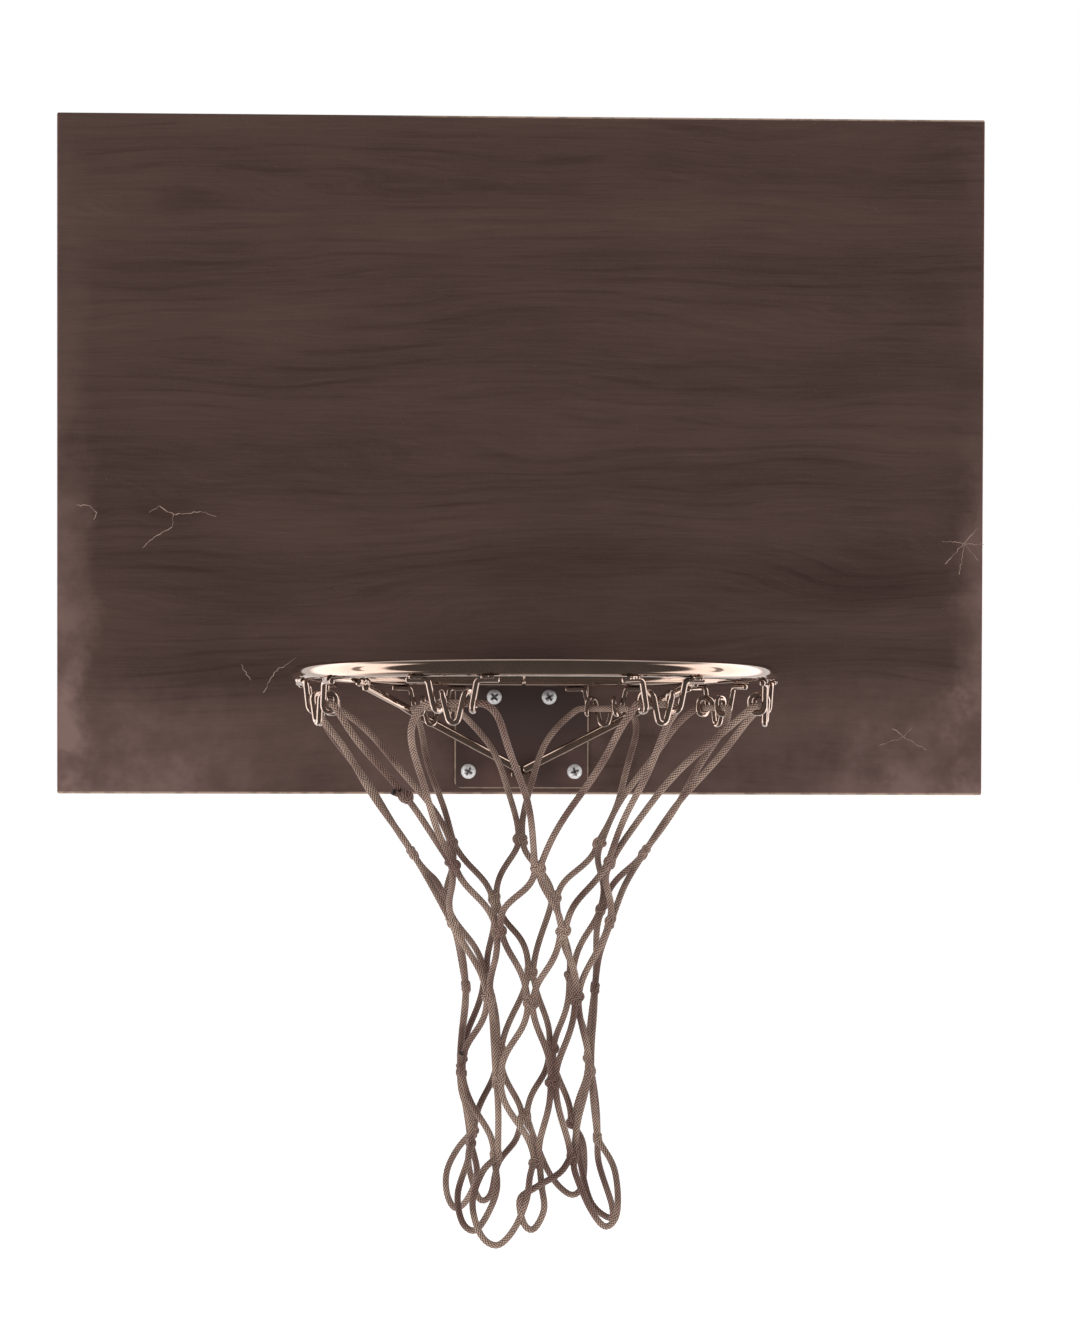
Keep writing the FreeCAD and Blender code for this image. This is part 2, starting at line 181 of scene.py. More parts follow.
# ---------------------------------------------------------------- camera
def make_camera():
    """A camera fitted to the photo with the model's sizes held. Its distance and shift aren't certain."""
    forward = Vector((
        math.sin(CAMERA_YAW) * math.cos(CAMERA_PITCH),
        math.cos(CAMERA_YAW) * math.cos(CAMERA_PITCH),
        math.sin(CAMERA_PITCH),
    ))
    data = bpy.data.cameras.new("camera")
    data.sensor_fit = "AUTO"
    data.sensor_width = CAMERA_SENSOR
    data.lens = CAMERA_LENS
    data.shift_x, data.shift_y = CAMERA_SHIFT
    camera = bpy.data.objects.new("camera", data)
    bpy.context.collection.objects.link(camera)
    camera.location = CAMERA_AT
    camera.rotation_mode = "QUATERNION"
    camera.rotation_quaternion = forward.to_track_quat("-Z", "Y") @ Quaternion((0, 0, 1), CAMERA_ROLL)
    bpy.context.scene.camera = camera


# ---------------------------------------------------------------- mesh helpers
def new_object(name, verts, faces, heights=None):
    """A smooth-shaded mesh object. heights is one number per vertex, for the material."""
    mesh = bpy.data.meshes.new(name)
    mesh.from_pydata([tuple(v) for v in verts], [], faces)
    mesh.polygons.foreach_set("use_smooth", [True] * len(mesh.polygons))
    if heights is not None:
        layer = mesh.attributes.new("relief", "FLOAT", "POINT")
        layer.data.foreach_set("value", np.asarray(heights, np.float32))
    mesh.update()
    made = bpy.data.objects.new(name, mesh)
    bpy.context.collection.objects.link(made)
    return made


def join_parts(name, parts):
    """One object from several (verts, faces, heights) parts."""
    verts, faces, heights, start = [], [], [], 0
    for part_verts, part_faces, part_heights in parts:
        verts.append(part_verts)
        faces.extend(tuple(i + start for i in face) for face in part_faces)
        heights.append(part_heights)
        start += len(part_verts)
    return new_object(name, np.concatenate(verts), faces, heights=np.concatenate(heights))


def resample(points, step):
    """Points the same distance apart along a polyline."""
    p = np.array([tuple(q) for q in points], float)
    lengths = np.linalg.norm(np.diff(p, axis=0), axis=1)
    along = np.concatenate([[0], np.cumsum(lengths)])
    count = max(2, int(round(along[-1] / step)) + 1)
    wanted = np.linspace(0, along[-1], count)
    return np.stack([np.interp(wanted, along, p[:, i]) for i in range(3)], 1)


def frames_along(p, closed=False):
    """Tangent, and two side vectors that don't twist, at each point of a path."""
    if closed:
        t = np.roll(p, -1, 0) - np.roll(p, 1, 0)
    else:
        t = np.gradient(p, axis=0)
    t /= np.linalg.norm(t, axis=1)[:, None]
    side = np.cross(t[0], (0, 0, 1.0))
    if np.linalg.norm(side) < 0.2:
        side = np.cross(t[0], (1.0, 0, 0))
    side /= np.linalg.norm(side)
    sides = [side]
    for i in range(1, len(p)):
        side = sides[-1] - t[i] * np.dot(sides[-1], t[i])
        sides.append(side / np.linalg.norm(side))
    n = np.array(sides)
    return t, n, np.cross(t, n)


def smooth_tube(points, radius, sides=16, step=0.8 * MM, lumps=0.0, round_ends=True):
    """A plain round bar along a path, as (verts, faces, heights). lumps is a share of the radius."""
    p = resample(points, step)
    _, n, b = frames_along(p)
    angles = np.linspace(0, 2 * math.pi, sides, endpoint=False)
    ring = np.cos(angles)[None, :, None] * n[:, None, :] + np.sin(angles)[None, :, None] * b[:, None, :]
    radii = np.full(len(p), radius)
    if round_ends:
        inset = np.minimum(np.arange(len(p)), np.arange(len(p))[::-1]) * step
        radii = radii * np.sqrt(np.clip(1 - np.clip(1 - inset / (radius * 0.5), 0, 1) ** 2 * 0.75, 0, 1))
    if lumps:
        seed = Vector(tuple(p[0] * 40))
        wobble = [noise.noise(seed + Vector(tuple(q * 220))) for q in p]
        radii = radii * (1 + lumps * np.array(wobble))
    verts = (p[:, None, :] + ring * radii[:, None, None]).reshape(-1, 3)
    faces = []
    for i in range(len(p) - 1):
        for j in range(sides):
            k = (j + 1) % sides
            faces.append((i * sides + j, i * sides + k, (i + 1) * sides + k, (i + 1) * sides + j))
    faces.append(tuple(range(sides))[::-1])
    faces.append(tuple((len(p) - 1) * sides + j for j in range(sides)))
    return verts, faces, np.zeros(len(verts))


YARNS, YARN_PITCH = 7, 1.9 * MM
BRAID_SIDES, BRAID_STEP, BRAID_DEPTH = 28, 0.45 * MM, 0.2
# the yarns' tops stand a little higher than the cord's plain radius
BRAID_RISE = 1.35


def braid_relief(turn, along):
    """Height of the braid's surface, 0 to 1: two families of yarn that pass over and under."""
    u = YARNS * turn + along / YARN_PITCH
    v = YARNS * turn - along / YARN_PITCH
    across_u = np.sqrt(np.clip(1 - (2 * (u - np.floor(u)) - 1) ** 2, 0, 1))
    across_v = np.sqrt(np.clip(1 - (2 * (v - np.floor(v)) - 1) ** 2, 0, 1))
    over_u = 0.5 + 0.5 * np.cos(math.pi * (v - 0.5 + np.floor(u)))
    over_v = 0.5 - 0.5 * np.cos(math.pi * (u - 0.5 + np.floor(v)))
    return np.maximum(across_u * (0.45 + 0.55 * over_u), across_v * (0.45 + 0.55 * over_v))


def braided_tube(points, radius=CORD_R, closed=False, twist=0.0):
    """Braided cord along a path, as (verts, faces, heights)."""
    p = resample(points, BRAID_STEP)
    if closed:
        p = p[:-1]
    _, n, b = frames_along(p, closed)
    share = np.linspace(0, 1, len(p))
    angles = np.linspace(0, 2 * math.pi, BRAID_SIDES, endpoint=False)
    along = share * (len(p) - 1) * BRAID_STEP
    if closed:
        along = share * round(len(p) * BRAID_STEP / YARN_PITCH) * YARN_PITCH
    turn = np.broadcast_to(angles / (2 * math.pi), (len(p), BRAID_SIDES))
    relief = braid_relief(turn, along[:, None] + twist)
    r = radius * (1 - BRAID_DEPTH + BRAID_RISE * BRAID_DEPTH * relief)
    ring = np.cos(angles)[None, :, None] * n[:, None, :] + np.sin(angles)[None, :, None] * b[:, None, :]
    verts = (p[:, None, :] + ring * r[:, :, None]).reshape(-1, 3)
    faces = []
    sides, rows = BRAID_SIDES, len(p)
    for i in range(rows if closed else rows - 1):
        low, high = i * sides, ((i + 1) % rows) * sides
        for j in range(sides):
            k = (j + 1) % sides
            faces.append((low + j, low + k, high + k, high + j))
    if not closed:
        faces.append(tuple(range(sides))[::-1])
        faces.append(tuple((rows - 1) * sides + j for j in range(sides)))
    return verts, faces, relief.reshape(-1)


def bezier(a, a_handle, b_handle, b, count=24):
    """Points on one cubic from a to b."""
    t = np.linspace(0, 1, count)[:, None]
    a, ha, hb, b = (np.array(tuple(q)) for q in (a, a_handle, b_handle, b))
    return (1 - t) ** 3 * a + 3 * (1 - t) ** 2 * t * ha + 3 * (1 - t) * t**2 * hb + t**3 * b


def rounded(points, radii, arc_steps=8):
    """A metal wire's route: straight runs with an arc of the given radius at each inner point."""
    route = [points[0]]
    for before, corner, after, radius in zip(points, points[1:], points[2:], radii):
        way_in, way_out = (corner - before).normalized(), (after - corner).normalized()
        turn = way_in.angle(way_out)
        cut = radius * math.tan(turn / 2)
        centre = corner + (way_out - way_in).normalized() * (radius / math.cos(turn / 2))
        start, end = corner - way_in * cut - centre, corner + way_out * cut - centre
        for i in range(arc_steps + 1):
            route.append(centre + start.normalized().slerp(end.normalized(), i / arc_steps) * radius)
    route.append(points[-1])
    return route


# ---------------------------------------------------------------- materials
class Nodes:
    """A short way to build a node tree, for a material or for the world."""

    def __init__(self, tree):
        self.tree = tree
        tree.nodes.clear()

    def output(self, kind, name):
        """A new node's output socket."""
        return self.tree.nodes.new(kind).outputs[name]

    def put(self, socket, value):
        """Link a socket to another node's output, or set its plain value."""
        if isinstance(value, bpy.types.NodeSocket):
            self.tree.links.new(value, socket)
        elif value is not None:
            socket.default_value = value

    def set(self, **values):
        """Inputs of the shader, by their names with underscores for spaces."""
        for name, value in values.items():
            self.put(self.shader.inputs[name.replace("_", " ").title().replace("Ior", "IOR")], value)

    def math(self, operation, a, b=None, clamp=False):
        node = self.tree.nodes.new("ShaderNodeMath")
        node.operation, node.use_clamp = operation, clamp
        for socket, value in zip(node.inputs, (a, b)):
            self.put(socket, value)
        return node.outputs[0]

    def total(self, first, *others):
        """All the values added, in order."""
        for other in others:
            first = self.math("ADD", first, other)
        return first

    def centred(self, value, amount):
        """A 0 to 1 value moved to lie round zero, then scaled."""
        return self.math("MULTIPLY", self.math("SUBTRACT", value, 0.5), amount)

    def stretched(self, vector, factors):
        """A vector with each part multiplied by its own factor."""
        node = self.tree.nodes.new("ShaderNodeVectorMath")
        node.operation = "MULTIPLY"
        self.put(node.inputs[0], vector)
        self.put(node.inputs[1], factors)
        return node.outputs["Vector"]

    def split(self, vector):
        """The x, y and z of a vector."""
        node = self.tree.nodes.new("ShaderNodeSeparateXYZ")
        self.put(node.inputs[0], vector)
        return node.outputs

    def join(self, x, y, z):
        node = self.tree.nodes.new("ShaderNodeCombineXYZ")
        for socket, value in zip(node.inputs, (x, y, z)):
            self.put(socket, value)
        return node.outputs[0]

    def noise(self, vector, scale, detail, roughness):
        node = self.tree.nodes.new("ShaderNodeTexNoise")
        settings = {"Vector": vector, "Scale": scale, "Detail": detail, "Roughness": roughness}
        for name, value in settings.items():
            self.put(node.inputs[name], value)
        return node.outputs["Fac"]

    def remap(self, value, low, high, to_low=0.0, to_high=1.0):
        """A smooth step from to_low at low to to_high at high."""
        node = self.tree.nodes.new("ShaderNodeMapRange")
        node.interpolation_type = "SMOOTHSTEP"
        for socket, v in zip(node.inputs, (value, low, high, to_low, to_high)):
            self.put(socket, v)
        return node.outputs[0]

    def mix(self, factor, a, b):
        """Colour a where factor is 0, b where it's 1."""
        node = self.tree.nodes.new("ShaderNodeMix")
        node.data_type = "RGBA"
        self.put(node.inputs[0], factor)
        self.put(node.inputs[6], a)
        self.put(node.inputs[7], b)
        return node.outputs[2]

    def attribute(self, name):
        node = self.tree.nodes.new("ShaderNodeAttribute")
        node.attribute_name = name
        return node.outputs["Fac"]

    def bump(self, height, strength, distance):
        node = self.tree.nodes.new("ShaderNodeBump")
        self.put(node.inputs["Height"], height)
        node.inputs["Strength"].default_value = strength
        node.inputs["Distance"].default_value = distance
        return node.outputs[0]


def new_look(name):
    """A new material as Nodes, with its shader, and its place in the object's own coordinates."""
    material = bpy.data.materials.new(name)
    material.use_nodes = True
    n = Nodes(material.node_tree)
    n.material = material
    n.shader = n.tree.nodes.new("ShaderNodeBsdfPrincipled")
    surface = n.tree.nodes.new("ShaderNodeOutputMaterial").inputs["Surface"]
    n.tree.links.new(n.shader.outputs[0], surface)
    n.place = n.output("ShaderNodeTexCoord", "Object")
    return n


def rgb(r, g, b):
    """A linear colour from sRGB steps of 0 to 255."""
    def linear(c):
        c /= 255
        return c / 12.92 if c <= 0.04045 else ((c + 0.055) / 1.055) ** 2.4
    return (linear(r), linear(g), linear(b), 1.0)


# (x, z) in millimetres on the board's front: (centre, half-length, half-height) of the knots
BOARD_KNOTS = (
    (-245, -33, 10, 7),
    (-197, -33, 12, 8),
    (251, -48, 12, 11),
    (217, -159, 9, 6),
    (193, -71, 26, 12),
    (-75, 85, 34, 10),
)
# hairline cracks on the front: (x, z) to (x, z), then the width, in millimetres
CRACKS = (
    ((-251, -29), (-244, -29), 0.7),
    ((-244, -29), (-239, -33), 0.7),
    ((-239, -33), (-241, -37), 0.5),
    ((-214, -53), (-206, -46), 0.6),
    ((-206, -46), (-197, -41), 0.8),
    ((-197, -41), (-196, -33), 0.6),
    ((-204, -29), (-196, -34), 0.9),
    ((-196, -34), (-181, -32), 0.7),
    ((-181, -32), (-172, -35), 0.4),
    ((-210, -33), (-204, -29), 0.4),
    ((240, -60), (251, -48), 0.6),
    ((251, -48), (259, -39), 0.7),
    ((238, -47), (262, -49), 0.5),
    ((251, -48), (248, -66), 0.5),
    ((251, -48), (259, -58), 0.4),
    ((203, -163), (217, -158), 0.7),
    ((217, -158), (230, -165), 0.6),
    ((210, -153), (217, -158), 0.6),
    ((217, -158), (222, -152), 0.4),
    ((-158, -118), (-153, -127), 0.6),
    ((-146, -134), (-139, -122), 0.6),
    ((-139, -122), (-127, -114), 0.5),
)


# how much wider than itself a knot's mark is, how far it lifts the grain lines that pass it as a
# share of its half-height, and the base of the power that gives its bell shape
KNOT_SPREAD, KNOT_LIFT, BELL_BASE = 1.6, 0.9, 2.718
# metres between broad bands and between growth rings, and the rings' lean through the board
BROAD_BAND, GROWTH_RING, GRAIN_LEAN = 0.058, 0.0105, 0.35
# the stain's dark and light tones, and the pale tone of the painted light at the sides and foot
STAIN_DARK, STAIN_LIGHT, PAINTED_LIGHT_TONE = rgb(61, 43, 38), rgb(90, 69, 62), rgb(130, 104, 98)
# worn side lines, the pale painted highlight along the top and foot edges, and dust
WORN_SIDE, EDGE_HIGHLIGHT, DUST = rgb(120, 74, 62), rgb(186, 160, 142), rgb(150, 130, 120)


def grain_level(n, x, y, z):
    """A height that wavers with the grain and is pushed up by the knots, and the knots' own shade."""
    grain_place = n.stretched(n.place, (1.0, 3.0, 5.0))
    sway = n.noise(grain_place, 3.2, 2.0, 0.45)
    ripple = n.noise(grain_place, 11.0, 3.0, 0.5)
    level = n.total(z, n.centred(sway, 0.07), n.centred(ripple, 0.009))
    shade = None
    for knot_x, knot_z, half_long, half_high in BOARD_KNOTS:
        dx = n.math("DIVIDE", n.math("SUBTRACT", x, knot_x * MM), half_long * MM * KNOT_SPREAD)
        dz = n.math("DIVIDE", n.math("SUBTRACT", z, knot_z * MM), half_high * MM * KNOT_SPREAD)
        spread = n.math("ADD", n.math("MULTIPLY", dx, dx), n.math("MULTIPLY", dz, dz))
        pull = n.math("POWER", BELL_BASE, n.math("MULTIPLY", spread, -1.0))
        level = n.math("ADD", level, n.math("MULTIPLY", pull, half_high * MM * KNOT_LIFT))
        shade = pull if shade is None else n.math("MAXIMUM", shade, pull)
    return n.math("ADD", level, n.math("MULTIPLY", y, GRAIN_LEAN)), shade


def board_painted_light(n, z, from_side, from_foot, front):
    """How much paler the front is painted at the sides and the foot: painted light, where more light falls.
    """
    light_patches = n.noise(n.place, 22.0, 4.0, 0.65)
    uneven = n.centred(n.noise(n.place, 13.0, 5.0, 0.7), 0.07)
    side = n.remap(n.math("ADD", from_side, uneven), 0.022, 0.0)
    side = n.math("MULTIPLY", side, n.remap(z, 0.08, -0.12, 0.15, 1.0))
    foot = n.math("MULTIPLY", n.remap(n.math("ADD", from_foot, uneven), 0.085, 0.0), 0.6)
    corner = n.remap(n.math("ADD", from_side, uneven), 0.13, 0.02)
    foot = n.math("MULTIPLY", foot, n.remap(corner, 0.0, 1.0, 0.9, 2.1))
    painted_light = n.math("ADD", n.math("MAXIMUM", side, foot), n.math("MULTIPLY", side, foot))
    return n.math("MULTIPLY", painted_light, n.math("MULTIPLY", n.remap(light_patches, 0.3, 0.7, 0.25, 1.0), front))


def wood_material():
    """Dark brown stain over grain, with painted light that makes it paler towards the sides and the foot, a
    painted highlight along the top and foot edges, and worn lines along the sides.
    """
    n = new_look("stained_wood_look")
    x, y, z = n.split(n.place)
    level, knot_shade = grain_level(n, x, y, z)
    broad = n.math("SINE", n.math("MULTIPLY", level, 2 * math.pi / BROAD_BAND))
    wave = n.math("SINE", n.math("MULTIPLY", level, 2 * math.pi / GROWTH_RING))
    late = n.math("POWER", n.math("ADD", n.math("MULTIPLY", wave, 0.5), 0.5), 5.0)
    patchy = n.noise(n.stretched(n.place, (1.0, 1.0, 3.0)), 9.0, 2.0, 0.5)
    late = n.math("MULTIPLY", late, n.remap(patchy, 0.42, 0.62))
    blotch = n.noise(n.stretched(n.place, (1.0, 1.0, 2.6)), 7.0, 3.0, 0.55)
    fibre = n.noise(n.stretched(n.join(x, y, level), (9.0, 150.0, 320.0)), 3.0, 3.0, 0.65)
    fine = n.noise(n.stretched(n.place, (30.0, 400.0, 1100.0)), 1.0, 2.0, 0.6)
    grit = n.noise(n.place, 700.0, 2.0, 0.6)

    tone = n.math("SUBTRACT", n.math("MULTIPLY", broad, 0.09), n.math("MULTIPLY", late, 0.20))
    tone = n.total(tone, n.centred(blotch, 0.8), n.centred(fibre, 0.62))
    tone = n.total(tone, n.centred(fine, 0.42), n.centred(grit, 0.25))
    tone = n.math("SUBTRACT", tone, n.math("MULTIPLY", knot_shade, 0.16))
    tone = n.math("ADD", tone, 0.5, clamp=True)
    colour = n.mix(tone, STAIN_DARK, STAIN_LIGHT)

    from_side = n.math("SUBTRACT", BOARD_WIDTH / 2, n.math("ABSOLUTE", x))
    from_foot = n.math("ADD", z, BOARD_HEIGHT / 2)
    from_top = n.math("SUBTRACT", BOARD_HEIGHT / 2, z)
    front = n.remap(y, -BOARD_THICK * 0.5, -BOARD_THICK * 0.9)
    # painted light: the front is painted paler towards the sides and the foot, where more light falls
    painted_light = board_painted_light(n, z, from_side, from_foot, front)
    colour = n.mix(n.math("MULTIPLY", painted_light, 0.78), colour, PAINTED_LIGHT_TONE)

    # painted highlight: pale lines along the foot edge and part of the top edge, for the light the arris
    # catches
    foot_line = n.remap(from_foot, 0.0016, 0.0006)
    top_line = n.math("MULTIPLY", n.remap(from_top, 0.0013, 0.0005), n.remap(x, -0.09, -0.02))
    side_line = n.math("MULTIPLY", n.remap(from_side, 0.0014, 0.0004), 0.5)
    side_line = n.math("MULTIPLY", side_line, front)
    edge_breakup = n.remap(n.noise(n.place, 120.0, 3.0, 0.6), 0.36, 0.52)
    edge_highlight = n.math("MULTIPLY", n.math("MAXIMUM", foot_line, top_line), n.remap(edge_breakup, 0.0, 1.0, 0.55, 1.0))
    edge_highlight = n.math("MULTIPLY", edge_highlight, front)
    colour = n.mix(n.math("MULTIPLY", side_line, edge_breakup), colour, WORN_SIDE)
    colour = n.mix(n.math("MULTIPLY", edge_highlight, 0.9), colour, EDGE_HIGHLIGHT)
    specks = n.remap(n.noise(n.place, 900.0, 1.0, 0.5), 0.76, 0.81)
    colour = n.mix(n.math("MULTIPLY", specks, 0.35), colour, DUST)

    rough = n.math("ADD", 0.40, n.math("MULTIPLY", fibre, 0.14))
    rough = n.math("ADD", rough, n.math("MULTIPLY", edge_highlight, 0.3))
    n.set(base_color=colour, roughness=rough, normal=n.bump(fine, 0.25, 0.0004))
    n.shader.inputs["Specular IOR Level"].default_value = 0.25
    return n.material


def crack_material():
    """Paler wood at the raised lips of the hairline cracks."""
    n = new_look("split_wood_look")
    patch = n.remap(n.noise(n.place, 160.0, 3.0, 0.6), 0.35, 0.65)
    n.set(base_color=n.mix(patch, rgb(124, 98, 88), rgb(184, 158, 144)), roughness=0.7)
    return n.material


def dark_metal(name, base, roughness):
    """Dark bronze plating under clear lacquer, with a few dull spots."""
    n = new_look(name)
    dull = n.noise(n.place, 55.0, 4.0, 0.6)
    tint = n.mix(n.remap(dull, 0.3, 0.75), base, tuple(c * 0.8 for c in base[:3]) + (1.0,))
    n.set(base_color=tint, metallic=0.92, roughness=n.remap(dull, 0.35, 0.8, roughness, roughness + 0.08))
    n.shader.inputs["Coat Weight"].default_value = 0.8
    n.shader.inputs["Coat Roughness"].default_value = 0.04
    return n.material


PLATE_BARE_EDGE = 0.7 * MM


def plate_material():
    """Satin dark paint, a little worn towards the plate's foot, and rubbed bare along its edges."""
    n = new_look("dark_plate_look")
    x, _, z = n.split(n.place)
    peel = n.noise(n.place, 380.0, 2.0, 0.5)
    blotch = n.noise(n.place, 40.0, 3.0, 0.55)
    worn = n.math("MULTIPLY", n.remap(z, -0.150, -0.185), n.remap(blotch, 0.3, 0.7))
    side = n.math("SUBTRACT", n.math("ABSOLUTE", x), PLATE_WIDTH / 2 - PLATE_BARE_EDGE)
    foot = n.math("SUBTRACT", PLATE_FOOT_Z + PLATE_BARE_EDGE, z)
    bare = n.remap(n.math("MAXIMUM", side, foot), -0.1 * MM, 0.25 * MM)
    bare = n.math("MULTIPLY", bare, n.remap(n.noise(n.place, 90.0, 3.0, 0.6), 0.3, 0.6, 0.35, 1.0))
    paint_colour = n.mix(worn, rgb(72, 57, 54), rgb(98, 72, 66))
    n.set(base_color=n.mix(bare, paint_colour, rgb(205, 180, 160)), metallic=n.math("MULTIPLY", bare, 0.8))
    n.set(roughness=n.remap(blotch, 0.3, 0.7, 0.3, 0.4), normal=n.bump(peel, 0.12, 0.0002))
    n.shader.inputs["Specular IOR Level"].default_value = 0.35
    return n.material


# (x, z) in millimetres of each screw, then the turn of its cross in degrees
SCREWS = ((-15.5, -136, 38), (15.5, -136, 30), (-30, -178, 62), (30, -178, 20))
# half-width and half-length of a cross recess's painted shade: where it starts and where it is full
RECESS_HALF_WIDTH, RECESS_HALF_LENGTH = (0.7 * MM, 0.5 * MM), (2.7 * MM, 2.3 * MM)


def zinc_material():
    """Bright zinc, with painted shade in each cross recess, and the scratches a driver leaves."""
    n = new_look("bright_zinc_look")
    x, _, z = n.split(n.place)
    spangle = n.noise(n.place, 500.0, 3.0, 0.6)
    brushed = n.noise(n.stretched(n.place, (1.0, 1.0, 0.1)), 1800.0, 2.0, 0.5)
    recess_shade = None
    for screw_x, screw_z, turn in SCREWS:
        across, up = n.math("SUBTRACT", x, screw_x * MM), n.math("SUBTRACT", z, screw_z * MM)
        c, s = math.cos(math.radians(turn)), math.sin(math.radians(turn))
        u = n.math("ABSOLUTE", n.math("ADD", n.math("MULTIPLY", across, c), n.math("MULTIPLY", up, s)))
        v = n.math("ABSOLUTE", n.math("SUBTRACT", n.math("MULTIPLY", up, c), n.math("MULTIPLY", across, s)))
        narrow = n.remap(n.math("MINIMUM", u, v), *RECESS_HALF_WIDTH)
        short = n.remap(n.math("MAXIMUM", u, v), *RECESS_HALF_LENGTH)
        arms = n.math("MULTIPLY", narrow, short)
        recess_shade = arms if recess_shade is None else n.math("MAXIMUM", recess_shade, arms)
    scratch = n.remap(n.noise(n.stretched(n.place, (1.0, 1.0, 2.2)), 620.0, 2.0, 0.6), 0.56, 0.62)
    recess_shade = n.math("MULTIPLY", recess_shade, n.remap(scratch, 0.0, 1.0, 1.0, 0.35))
    colour = n.mix(n.remap(spangle, 0.3, 0.7), rgb(236, 234, 232), rgb(252, 251, 250))
    colour = n.mix(n.math("MULTIPLY", scratch, 0.35), colour, rgb(120, 114, 110))
    # painted shade: each cross recess is painted dark grey
    colour = n.mix(recess_shade, colour, rgb(84, 78, 76))
    n.set(base_color=colour, metallic=0.05, roughness=n.remap(brushed, 0.3, 0.7, 0.28, 0.42))
    n.set(normal=n.bump(spangle, 0.12, 0.0002))
    return n.material


def cord_material():
    """Brown braided cord: yarn tops painted pale as highlight, grooves painted near black as shade, slow
    colour change and fine fibres.
    """
    n = new_look("brown_cord_look")
    relief = n.attribute("relief")
    slow = n.noise(n.place, 30.0, 2.0, 0.5)
    fibre = n.noise(n.place, 2600.0, 2.0, 0.6)
    # painted light: by the braid's relief, the yarn tops are painted pale as highlight and the grooves near
    # black as shade
    lit_yarn_tops = n.mix(n.remap(slow, 0.3, 0.7), rgb(142, 107, 96), rgb(218, 186, 167))
    colour = n.mix(n.remap(relief, 0.58, 0.94), rgb(16, 8, 9), lit_yarn_tops)
    colour = n.mix(n.remap(fibre, 0.58, 0.78, 0.0, 0.35), colour, rgb(176, 150, 134))
    n.set(base_color=colour, roughness=0.72, normal=n.bump(fibre, 0.35, 0.0002))
    n.shader.inputs["Sheen Weight"].default_value = 0.1
    n.shader.inputs["Sheen Roughness"].default_value = 0.4
    n.shader.inputs["Specular IOR Level"].default_value = 0.35
    return n.material


def floor_material():
    """A pale floor that glows, so that it's as white as the background."""
    n = new_look("pale_floor")
    n.set(base_color=(0.85, 0.85, 0.85, 1), roughness=0.8)
    n.shader.inputs["Emission Color"].default_value = (1, 1, 1, 1)
    n.shader.inputs["Emission Strength"].default_value = 0.80
    return n.material


def use(piece, material, body="hoop", replaces=()):
    """Give a new piece its finish and its place in the frame."""
    piece.data.materials.clear()
    piece.data.materials.append(material)
    if body:
        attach(piece, body)
    if replaces:
        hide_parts(*replaces)


def paint(node, material):
    """A better material on a CAD node, whose mesh stays as it is."""
    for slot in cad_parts[node].material_slots:
        slot.material = material


# ---------------------------------------------------------------- metalwork
def rim_parts():
    """The bar bent to a ring. It has its two cut ends at the back, a little apart."""
    half_gap = math.degrees(RIM_END_GAP / 2 / RIM_R)
    points = []
    for i in range(361):
        angle = math.radians(-180 + half_gap + i * (360 - 2 * half_gap) / 360)
        points.append(RIM_CENTRE + Vector((math.sin(angle), -math.cos(angle), 0)) * RIM_R)
    return smooth_tube(points, RIM_BAR_R, sides=40, step=1.5 * MM, round_ends=False)


def brace_route(side):
    """A brace rod's line: from the plate's foot out to its kink, then up to the rim."""
    rim_end = on_rim(side * BRACE_RIM_ANGLE, 0, -BRACE_RIM_INWARD, -BRACE_RIM_DOWN)
    plate_end = Vector((side * BRACE_FOOT_APART, PLATE_FRONT_Y - BRACE_R, BRACE_FOOT_Z))
    share = (side * BRACE_KINK_X - plate_end.x) / (rim_end.x - plate_end.x)
    kink = Vector((side * BRACE_KINK_X, BRACE_KINK_Y, plate_end.z + share * (rim_end.z - plate_end.z)))
    return rounded([plate_end, kink, rim_end], [BRACE_KINK_R])


def hook_route(angle):
    """A net hook's wire: foot, eye, tongue, eye and foot."""
    left = [(-along, outward, up) for along, outward, up in HOOK_HALF]
    right = list(reversed(HOOK_HALF))
    places = [on_rim(angle, *place) for place in left + [HOOK_TONGUE] + right]
    radii = HOOK_HALF_BEND_R + (HOOK_TONGUE_BEND_R,) + HOOK_HALF_BEND_R[::-1]
    return rounded(places, [r * MM for r in radii])


WELD_RINGS, WELD_SIDES = 18, 20
# a bead's lumps and ripples, as shares of its radius, and how far apart the ripples are
WELD_LUMPS, WELD_RIPPLE, WELD_RIPPLE_PITCH = 0.22, 0.07, 0.9 * MM


